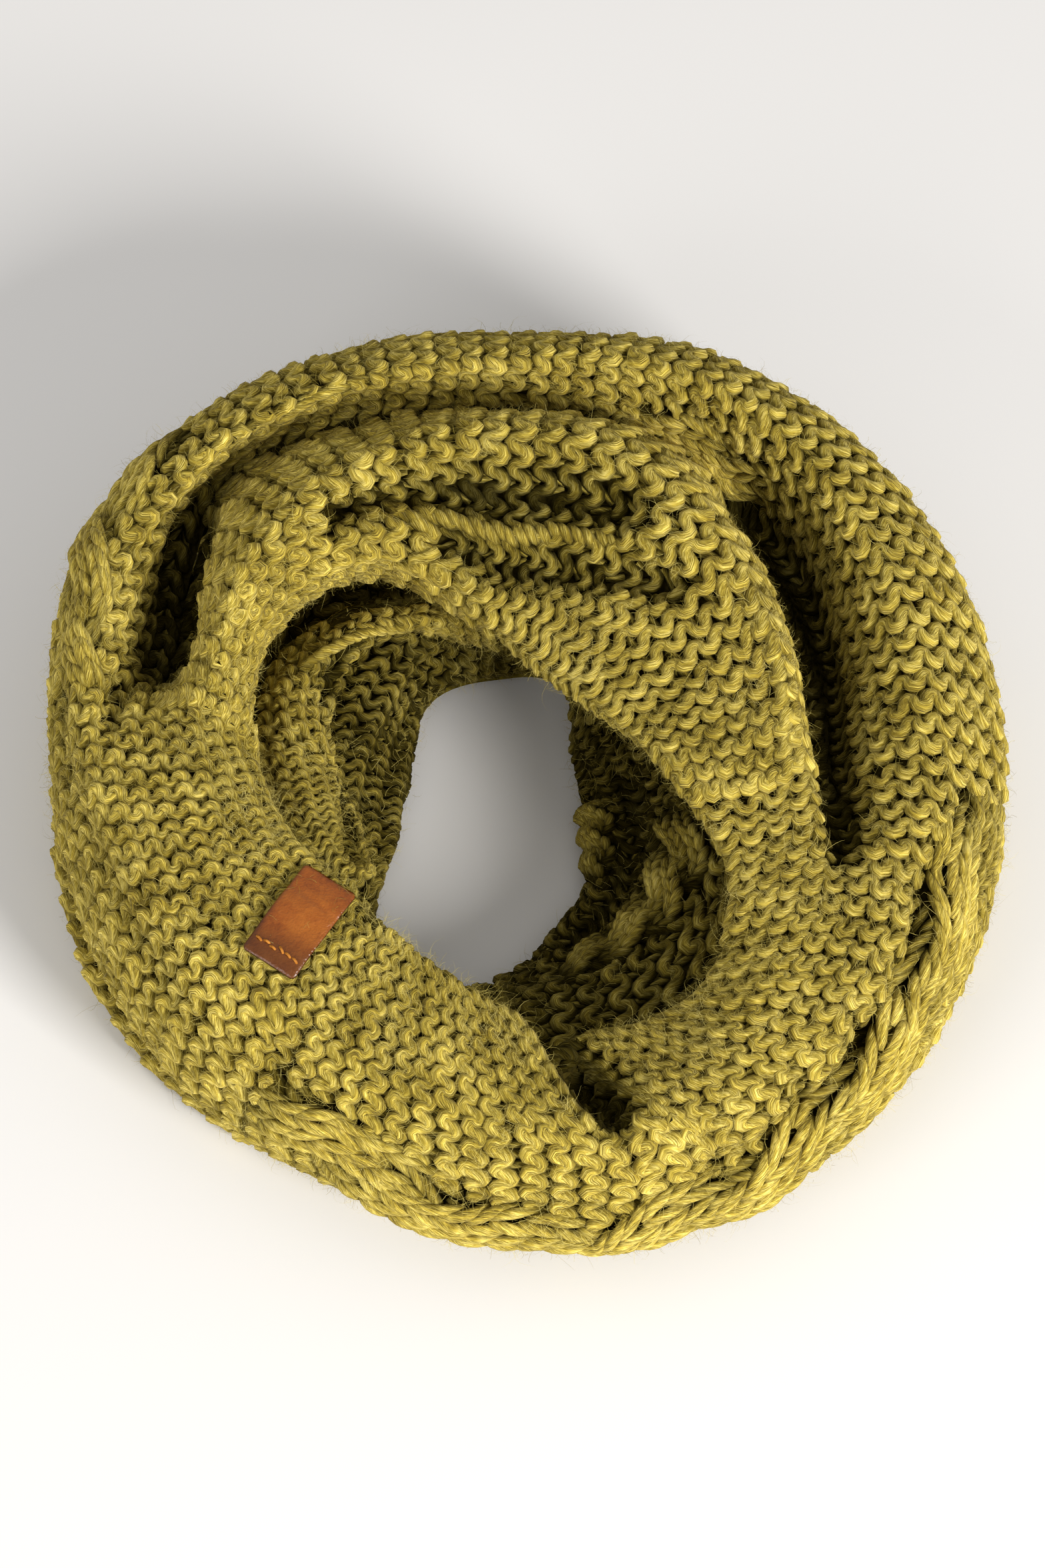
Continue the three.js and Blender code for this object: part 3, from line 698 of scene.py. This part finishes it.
def rope(cloth, path, tubes):
    """A single row of slanting bumps that follows an edge or the bottom of a crease."""
    long = path_lengths(path)[-1]
    f = np.linspace(0, 1, STITCH_PLACES)
    for k in range(int(long / ROPE_COURSE)):
        run = k * ROPE_COURSE + ROPE_RUN * f + rng.normal(0, UNEVEN["rope_run"])
        side = ROPE_SLANT * (f - 0.5) + rng.normal(0, UNEVEN["rope_side"])
        lift = ROPE_SIT + ROPE_ARCH * np.sin(math.pi * f)
        lift = lift - ROPE_SINK * near_ends(run, long, ROPE_FADE)
        radius = YARN * ROPE_SIZE * swell(f, 0.45, 0.6)
        lay_stitch(cloth, tubes, path, run, side, lift, radius, ROPE_PAINTED_SHADE, ROPE_PAINTED_SHADE_SHARE)


def fibre_roots(cloth, count, heights):
    """Random roots of fibres, the outward direction at each, and a random one beside it."""
    deg, s = cloth.open_places(count)
    lift = rng.uniform(*heights, len(deg)) + OVER_CABLE * cloth.in_cable(deg, s, 1)
    base, normal = cloth.at(deg, s, lift)
    return base, normal, unit(np.cross(normal, rng.normal(size=(len(deg), 3))))


def ribbons(path, across, half):
    """Narrow strips along paths (strips, places, 3), with a half width for each place."""
    count, places = path.shape[:2]
    half = np.array(half)[None, :, None]
    verts = np.stack([path - across * half, path + across * half], 2).reshape(-1, 3)
    k = np.arange(count)[:, None] * 2 * places
    i = np.arange(places - 1)[None] * 2
    quads = np.stack([k + i, k + i + 1, k + i + 3, k + i + 2], -1).reshape(-1, 4)
    return verts, quads


def fuzz(cloth, count):
    """Short fine fibres all over the yarn, each a small bent ribbon."""
    base, normal, other = fibre_roots(cloth, count, FUZZ_ROOTS)
    count = len(base)
    length = rng.uniform(*FUZZ_LONG, count)
    rise = rng.uniform(*FUZZ_RISE, count)
    path = (
        base[:, None]
        + other[:, None] * (length[:, None] * np.array([0, 0.5, 1]))[..., None]
        + normal[:, None] * (rise[:, None] * np.array([0, 0.8, 1]))[..., None]
    )
    across = unit(np.cross(other, normal)[:, None] + rng.normal(0, FUZZ_TURN, (count, 1, 3)))
    return ribbons(path, across, FUZZ_HALF)


def hairs(cloth, count):
    """Fine loose fibres that stand off the yarn, as narrow ribbons."""
    base, normal, other = fibre_roots(cloth, count, HAIR_ROOTS)
    count = len(base)
    bend = np.cross(normal, other)
    length = rng.uniform(*HAIR_LONG, count) * rng.uniform(0.5, 1, count)
    rise = rng.uniform(*HAIR_RISE, count)
    curl = rng.normal(0, HAIR_CURL, count)
    wave = rng.normal(0, HAIR_WAVE, (count, 1)) * np.array(HAIR_WAVES)
    steps = np.linspace(0, 1, len(HAIR_WAVES))
    path = (
        base[:, None]
        + other[:, None] * (length[:, None] * steps * (1 - 0.25 * steps))[..., None]
        + normal[:, None] * (rise[:, None] * np.sin(steps * 2.2))[..., None]
        + bend[:, None] * ((length * curl)[:, None] * steps**2 + wave)[..., None]
    )
    across = unit(np.cross(np.gradient(path, axis=1), normal[:, None]))
    return ribbons(path, across, HAIR_HALF)


# Materials
YARN_COLOURS = [
    (0.58, (0.088, 0.056, 0.005)),
    (0.75, (0.292, 0.211, 0.021)),
    (0.88, (0.505, 0.382, 0.055)),
    (0.98, (0.740, 0.596, 0.148)),
]
# How the noise of the fibres winds round the yarn and runs along it, and how its plies twist
FIBRES_ROUND, FIBRES_ALONG, FIBRE_STRETCH = 38.0, 1.5, 0.34
PLIES, PLY_TURN, PLY_STRAY = 5, 0.14, 6.0
# Painted shade and highlight: from the lowest to the highest tone, the share of its colour that the yarn
# keeps
PAINTED_LIGHT_TONES, PAINTED_LIGHT_SHARES = (-2.7, 1.15), (0.09, 1.25)


def node_tree(name):
    material = bpy.data.materials.new(name)
    material.use_nodes = True
    tree = material.node_tree
    tree.nodes.clear()
    out = tree.nodes.new("ShaderNodeOutputMaterial")
    shader = tree.nodes.new("ShaderNodeBsdfPrincipled")
    tree.links.new(shader.outputs[0], out.inputs[0])
    return material, tree, shader


def add(tree, kind, inputs=None, **settings):
    """A node with its settings, and its inputs linked or set."""
    node = tree.nodes.new(kind)
    for key, value in settings.items():
        setattr(node, key, value)
    for key, value in (inputs or {}).items():
        if isinstance(value, bpy.types.NodeSocket):
            tree.links.new(value, node.inputs[key])
        else:
            node.inputs[key].default_value = value
    return node


def math_node(tree, operation, a, b=0.0):
    return add(tree, "ShaderNodeMath", {0: a, 1: b}, operation=operation).outputs[0]


def times(tree, a, b):
    return math_node(tree, "MULTIPLY", a, b)


def plus(tree, a, b):
    return math_node(tree, "ADD", a, b)


def noise(tree, place, scale, detail, **more):
    inputs = {"Vector": place, "Scale": scale, "Detail": detail, **more}
    return add(tree, "ShaderNodeTexNoise", inputs).outputs[0]


def object_place(tree):
    return add(tree, "ShaderNodeTexCoord").outputs["Object"]


def point_value(tree, name):
    return add(tree, "ShaderNodeAttribute", attribute_name=name).outputs["Fac"]


def map_range(tree, value, given, made):
    inputs = {"Value": value, 1: given[0], 2: given[1], 3: made[0], 4: made[1]}
    return add(tree, "ShaderNodeMapRange", inputs).outputs[0]


def scaled_colour(tree, colour, share):
    return add(tree, "ShaderNodeVectorMath", {0: colour, 1: share}, operation="MULTIPLY").outputs[0]


def bump(tree, shader, height, strength, distance):
    node = add(tree, "ShaderNodeBump", {"Strength": strength, "Distance": distance, "Height": height})
    tree.links.new(node.outputs[0], shader.inputs["Normal"])


def ramp(tree, value, stops):
    node = add(tree, "ShaderNodeValToRGB", {0: value})
    band = node.color_ramp
    while len(band.elements) < len(stops):
        band.elements.new(0.5)
    for element, (place, colour) in zip(band.elements, stops):
        element.position = place
        element.color = (*colour, 1)
    return node.outputs[0]


def yarn_material():
    """Wool yarn: fibres that wind round it, plies, a colour that drifts over the scarf, and painted shade
    and highlight from each point's tone.
    """
    material, tree, shader = node_tree("wool_yarn")
    uv = add(tree, "ShaderNodeUVMap", uv_map="Yarn").outputs[0]
    split = add(tree, "ShaderNodeSeparateXYZ", {0: uv})
    u, v = split.outputs[0], split.outputs[1]
    wound = plus(tree, times(tree, v, FIBRES_ROUND), times(tree, u, FIBRES_ALONG))
    place = add(tree, "ShaderNodeCombineXYZ", {0: times(tree, u, FIBRE_STRETCH), 1: wound}).outputs[0]
    fibre = noise(tree, place, scale=1.0, detail=4.0, Roughness=0.62)
    turn = plus(tree, times(tree, v, PLIES * TAU), times(tree, u, PLY_TURN * TAU))
    ply = math_node(tree, "SINE", plus(tree, turn, times(tree, fibre, PLY_STRAY)))
    drift = noise(tree, object_place(tree), scale=90.0, detail=2.0)
    mix = plus(tree, times(tree, fibre, 1.25), times(tree, drift, 0.4))
    colour = ramp(tree, plus(tree, mix, times(tree, ply, 0.02)), YARN_COLOURS)
    # Painted shade and highlight: the colour follows each point's tone
    share = map_range(tree, point_value(tree, "height"), PAINTED_LIGHT_TONES, PAINTED_LIGHT_SHARES)
    tree.links.new(scaled_colour(tree, colour, share), shader.inputs["Base Color"])
    bump(tree, shader, plus(tree, fibre, times(tree, ply, 0.12)), strength=1.0, distance=0.0007)
    shader.inputs["Roughness"].default_value = 0.85
    # Specular and sheen fade with the painted shade
    tree.links.new(times(tree, share, 0.13), shader.inputs["Specular IOR Level"])
    tree.links.new(times(tree, share, 0.11), shader.inputs["Sheen Weight"])
    shader.inputs["Sheen Roughness"].default_value = 0.5
    shader.inputs["Sheen Tint"].default_value = (0.9, 0.85, 0.55, 1)
    return material


def leather_material(name, dark, low, high):
    """Waxed leather: grain, fine wrinkles, a colour that shifts over the tab, and darker worn edges and
    painted shade from the wear value.
    """
    material, tree, shader = node_tree(name)
    place = object_place(tree)
    patches = noise(tree, place, scale=65.0, detail=6.0, Roughness=0.6)
    grain = add(tree, "ShaderNodeTexVoronoi", {"Vector": place, "Scale": 1500.0}).outputs["Distance"]
    wrinkles = noise(tree, place, scale=420.0, detail=5.0, Distortion=1.2)
    tone = plus(tree, patches, times(tree, wrinkles, 0.25))
    # Darker at worn edges, and painted shade towards the lower end
    kept = math_node(tree, "SUBTRACT", 1.0, times(tree, point_value(tree, "wear_and_painted_shade"), 0.62))
    colour = ramp(tree, tone, [(0.42, dark), (0.58, low), (0.78, high)])
    tree.links.new(scaled_colour(tree, colour, kept), shader.inputs["Base Color"])
    bump(tree, shader, plus(tree, times(tree, grain, 0.35), wrinkles), strength=0.5, distance=0.0005)
    rough = map_range(tree, wrinkles, (0.3, 0.7), (0.16, 0.42))
    tree.links.new(rough, shader.inputs["Roughness"])
    return material


def plain_material(name, low, high, scale, roughness, bump_size):
    """Two tones of one colour in a fine noise that is also the relief."""
    material, tree, shader = node_tree(name)
    mottle = noise(tree, object_place(tree), scale, detail=5.0)
    tree.links.new(ramp(tree, mottle, [(0.35, low), (0.65, high)]), shader.inputs["Base Color"])
    bump(tree, shader, mottle, strength=0.4, distance=bump_size)
    shader.inputs["Roughness"].default_value = roughness
    shader.inputs["Specular IOR Level"].default_value = 0.1
    return material


WOOL = yarn_material()
LEATHER = leather_material(
    "label_leather", (0.13, 0.026, 0.002), (0.27, 0.066, 0.004), (0.36, 0.103, 0.008)
)
LEATHER_EDGE = leather_material(
    "label_edge", (0.045, 0.016, 0.008), (0.075, 0.028, 0.012), (0.11, 0.04, 0.016)
)
# Name, dark and light tone, scale of the noise, roughness and depth of the relief
THREAD = plain_material("label_thread", (0.34, 0.12, 0.015), (0.55, 0.22, 0.035), 900, 0.6, 0.0002)
# Nearly black wool for the shells under the stitches: painted shade in the gaps between them
WOOL_PAINTED_SHADE = plain_material("wool_painted_shade", (0.022, 0.016, 0.002), (0.055, 0.040, 0.005), 700, 0.95, 0.0004)
WOOL_UNDER = plain_material("wool_under", (0.13, 0.095, 0.010), (0.38, 0.29, 0.036), 420, 0.95, 0.0015)
WOOL_FIBRE = plain_material("wool_fibre", (0.36, 0.28, 0.05), (0.60, 0.50, 0.15), 60, 0.7, 0.0001)

# Camera at the photograph's angle, 58 degrees over the floor
CAMERA_LENS, CAMERA_TILT, CAMERA_PLACE = 86.1, 90 - 58, (-0.0007, -0.6385, 1.06006)
camera_data = bpy.data.cameras.new("camera")
camera_data.lens = CAMERA_LENS
camera_data.sensor_width = 36
camera_data.clip_end = 20
camera = bpy.data.objects.new("camera", camera_data)
bpy.context.scene.collection.objects.link(camera)
camera.location = CAMERA_PLACE
camera.rotation_euler = (math.radians(CAMERA_TILT), 0, 0)
bpy.context.scene.camera = camera

# Stretches of cloth, between the places where the upper turn's two stretches meet
LEFT_SEAM, RIGHT_SEAM = 176, 352
FRONT, BACK = (LEFT_SEAM, RIGHT_SEAM), (RIGHT_SEAM - 360, LEFT_SEAM)
FOLDS = UPPER_FOLDS + CREASES
front = Cloth(upper_sections, FRONT, (0, 8), FOLDS, [FRONT_CABLE], SHADES)
outer = Cloth(upper_sections, BACK, (0, 4), FOLDS, [LEFT_CABLE, CORNER_CABLE], SHADES)
inner = Cloth(upper_sections, BACK, (4, 8), FOLDS, [], SHADES)
middle = Cloth(fold_sections, (FOLD_FROM, FOLD_TO), (0, 3), FOLD_CREASES, [], FOLD_SHADES, FOLD_SHADE)
hole = Cloth(hole_sections, (0, 360), (0, 5), LOWER_FOLDS, HOLE_CABLES, [], HOLE_SHADE)
foot = Cloth(foot_sections, (0, 360), (0, 4))
under = Cloth(under_sections, (0, 360), (0, 1))

# Rows of stitches seen sideways, along edges and creases
OUTER_ROPE = [(150, 3.4), (138, 3.85), (130, 3.58), (123, 3.1), (113, 2.87)]
INNER_ROPE = [(120, 5.62), (92, 5.66), (60, 5.62)]
FOLD_ROPE = [(97, 1.6), (108, 1.45), (122, 1.15), (136, 0.85)]

# Name, cloth, courses, stitches, node, pieces, ropes, hairs and the size of the yarn
STRETCHES = [
    ("front", front, 55, 19, "front_stretch", 2, [], 7000, 1.0),
    ("outer", outer, 53, 12, "outer_stretch", 1, [OUTER_ROPE], 3600, 1.0),
    ("inner", inner, 36, 15, "inner_stretch", 1, [INNER_ROPE], 4200, 1.05),
    ("fold", middle, 31, 7, "middle_fold", 1, [FOLD_ROPE], 1000, 0.92),
    ("hole", hole, 60, 12, "lower_turn", 1, [], 1200, 0.95),
    ("foot", foot, 104, 4, "lower_turn", 1, [], 1000, 1.0),
]


def stitch_pieces(name, cloth, courses, stitches, parts, ropes, size):
    """The plain knit in one or more pieces, and one piece of its cables and edge rows."""
    pieces = []
    for k in range(parts):
        tubes = Tubes()
        knit(cloth, courses, stitches, tubes, (k / parts, (k + 1) / parts), size)
        number = f"_{k + 1}" if parts > 1 else ""
        pieces.append(tubes.mesh(f"{name}_knit{number}", WOOL))
    tubes = Tubes()
    for row in cloth.cables:
        cable(cloth, row, tubes)
    for path in ropes:
        rope(cloth, path, tubes)
    if tubes.count:
        pieces.append(tubes.mesh(f"{name}_cable", WOOL))
    return pieces


def fibre_piece(name, cloth, hair):
    """Long and short loose fibres in one piece."""
    verts, quads = hairs(cloth, hair)
    short_verts, short_quads = fuzz(cloth, int(hair * FUZZ_SHARE))
    quads = np.concatenate([quads, short_quads + len(verts)])
    verts = np.concatenate([verts, short_verts])
    verts[:, 2] = np.maximum(verts[:, 2], YARN_CLEAR)
    return quad_mesh(f"{name}_fuzz", verts, quads, WOOL_FIBRE)


for name, cloth, courses, stitches, node, parts, ropes, hair, size in STRETCHES:
    pieces = stitch_pieces(name, cloth, courses, stitches, parts, ropes, size)
    pieces.append(fibre_piece(name, cloth, hair))
    # A dark shell under the stitches: painted shade in the gaps between them
    base = shell(f"{name}_cloth", cloth, SHELL_LIFT, WOOL_PAINTED_SHADE, *SHELL_GRID)
    if cloth is foot:
        pieces.append(shell("foot_under", under, 0.0, WOOL_UNDER, *UNDER_GRID))
    for piece in [base] + pieces:
        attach(piece, "root")
        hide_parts(node)

# Leather tab, bare, with a row of thread near its lower end
LABEL_LONG, LABEL_WIDE, LABEL_THICK, LABEL_LIFT = 34, 19, 1.3, 2.2
LABEL_DEG, LABEL_LINE, LABEL_TURN = 226.5, 5.23, 22
LABEL_GRID = 48, 30
# Bends of worn leather: down towards its ends and sides, a crease across it, and a slow wave
BEND_UPPER, BEND_LOWER, BEND_SIDES = 0.0045, 0.004, 0.003
CREASE_AT, CREASE_SLANT, CREASE_HALF, CREASE_DEEP = 7.5, 0.12, 1.1, 0.35
RIPPLE, RIPPLE_ALONG, RIPPLE_ACROSS = 0.25, 0.31, 0.2
# Rounded corners and soft edges
CORNER_ALONG, CORNER_ACROSS, CORNER_ROUND = 0.92, 0.88, 3.6
EDGE_DROP, EDGE_SOFT, UNDER_SOFT = 0.35, 0.5, 0.6
# Wear: dark edges; and painted shade over a lower end that darkens from here on
WEAR_EDGE, WEAR_EDGE_WIDE, LOWER_SHADE_FROM, LOWER_SHADE_SPREAD = 0.5, 0.9, -8, 2.2
# Thread: how many stitches, place of the row and of the first one, their step and length
THREADS, THREAD_ROW, THREAD_FIRST, THREAD_STEP, THREAD_LONG = 6, -11.6, -7.6, 2.65, 2.1
# Its radius, how it dips and arches, points in a stitch, and how unevenly it lies and slants
THREAD_RADIUS, THREAD_SINK, THREAD_ARCH, THREAD_PLACES = 0.42, 0.25, 0.65, 7
THREAD_STRAY, THREAD_SLANT = 0.25, 0.5


def label_frame():
    """Middle of the tab on the cloth, and its directions along, across and outward."""
    degs = np.array([LABEL_DEG, LABEL_DEG + 1])
    here = along(upper_sections(degs), np.array([LABEL_LINE, LABEL_LINE + 0.05]))
    middle_point = here[0, 0]
    inward = here[0, 1] - middle_point
    out = unit(np.cross(here[1, 0] - middle_point, inward))
    inward = unit(inward)
    turn = math.radians(LABEL_TURN)
    length = inward * math.cos(turn) + np.cross(out, inward) * math.sin(turn)
    return middle_point, length, np.cross(out, length), out


def label_point(a, b, lift):
    """A place on the tab: along, across and above its underside, with the bends of worn leather."""
    middle_point, length, width, out = label_frame()
    high = LABEL_LIFT + lift - np.where(a > 0, BEND_UPPER, BEND_LOWER) * a**2 - BEND_SIDES * b**2
    high = high - CREASE_DEEP * np.exp(-(((a - CREASE_AT - CREASE_SLANT * b) / CREASE_HALF) ** 2))
    high = high + RIPPLE * np.sin(a * RIPPLE_ALONG + b * RIPPLE_ACROSS)
    return middle_point + a[..., None] * length + b[..., None] * width + high[..., None] * out


def label_border(columns, rows):
    """Places of the grid's border points, in order round it."""
    w = rows + 1
    border = [i * w for i in range(columns + 1)]
    border += [columns * w + j for j in range(1, rows + 1)]
    border += [i * w + rows for i in range(columns - 1, -1, -1)]
    border += [j for j in range(rows - 1, 0, -1)]
    return np.array(border)


def label_tab():
    """Two faces with soft edges and a cut edge all round."""
    columns, rows = LABEL_GRID
    a, b = np.meshgrid(np.linspace(-1, 1, columns + 1), np.linspace(-1, 1, rows + 1), indexing="ij")
    corner = np.clip(np.abs(a) - CORNER_ALONG, 0, 1) * np.clip(np.abs(b) - CORNER_ACROSS, 0, 1)
    reach = 1 - corner * CORNER_ROUND
    edge = np.minimum((1 - np.abs(a)) * LABEL_LONG / 2, (1 - np.abs(b)) * LABEL_WIDE / 2)
    soft = EDGE_DROP * np.exp(-edge / EDGE_SOFT)
    x, y = a * reach * LABEL_LONG / 2, b * reach * LABEL_WIDE / 2
    top = label_point(x, y, LABEL_THICK - soft).reshape(-1, 3)
    bottom = label_point(x, y, soft * UNDER_SOFT).reshape(-1, 3)
    border = label_border(columns, rows)
    nxt = np.roll(border, -1)
    n = len(top)
    faces = grid_quads(columns, rows)
    side = np.stack([border, border + n, nxt + n, nxt], -1)
    quads = np.concatenate([faces, faces[:, ::-1] + n, side])
    piece = quad_mesh("label_tab", np.concatenate([top, bottom]), quads, LEATHER)
    piece.data.materials.append(LEATHER_EDGE)
    kind = np.zeros(len(quads), np.int32)
    kind[2 * len(faces):] = 1
    piece.data.polygons.foreach_set("material_index", kind)
    # Wear at the edges, and painted shade over the lower end
    edge_wear = WEAR_EDGE * np.exp(-edge.ravel() / WEAR_EDGE_WIDE)
    worn = np.clip(edge_wear + 1 / (1 + np.exp((x.ravel() - LOWER_SHADE_FROM) / LOWER_SHADE_SPREAD)), 0, 1)
    point_values(piece, "wear_and_painted_shade", np.concatenate([worn, worn]))
    return piece


def label_stitches():
    """Thread that dips in and out of the leather in a slightly uneven row."""
    tubes = Tubes()
    f = np.linspace(0, 1, THREAD_PLACES)
    for k in range(THREADS):
        a = THREAD_ROW + rng.normal(0, THREAD_STRAY) + (f - 0.5) * rng.normal(THREAD_SLANT, THREAD_SLANT)
        b = THREAD_FIRST + THREAD_STEP * k + THREAD_LONG * f
        points = label_point(a, b, LABEL_THICK - THREAD_SINK + THREAD_ARCH * np.sin(math.pi * f))
        normals = np.broadcast_to(label_frame()[3], points.shape)
        tubes.add(points[None], normals[None], THREAD_RADIUS, 1.0)
    return tubes.mesh("label_thread", THREAD)


for piece in (label_tab(), label_stitches()):
    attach(piece, "root")
    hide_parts("leather_label")

# Floor and light
LIGHT_COLOUR, WORLD_COLOUR, WORLD_STRENGTH = (1.0, 0.98, 0.95), (1.0, 0.99, 0.975, 1), 0.50
# Name, place, size and power of each lamp
LAMPS = [
    ("key", (1.46, -1.66, 1.06), 0.6, 72),
    ("fill", (-1.45, -1.50, 0.90), 1.0, 18),
]
LAMP_AIM = (0, 0, 0.03)


def floor_material():
    material, _, shader = node_tree("pale_cloth_floor")
    shader.inputs["Base Color"].default_value = (0.86, 0.85, 0.84, 1)
    shader.inputs["Roughness"].default_value = 0.9
    return material


bpy.ops.mesh.primitive_plane_add(size=6, location=(0, 0, 0))
floor = bpy.context.object
floor.name = "floor"
floor.data.materials.append(floor_material())


def area_light(name, place, size, power):
    data = bpy.data.lights.new(name, "AREA")
    data.size = size
    data.energy = power
    data.color = LIGHT_COLOUR
    lamp = bpy.data.objects.new(name, data)
    bpy.context.scene.collection.objects.link(lamp)
    lamp.location = place
    x, y, z = np.array(place) - np.array(LAMP_AIM)
    lamp.rotation_euler = (math.atan2(math.hypot(x, y), z), 0, math.atan2(x, -y))


for lamp_row in LAMPS:
    area_light(*lamp_row)
world = bpy.data.worlds.new("studio")
world.use_nodes = True
world.node_tree.nodes["Background"].inputs[0].default_value = WORLD_COLOUR
world.node_tree.nodes["Background"].inputs[1].default_value = WORLD_STRENGTH
bpy.context.scene.world = world
bpy.context.scene.view_settings.view_transform = "Standard"
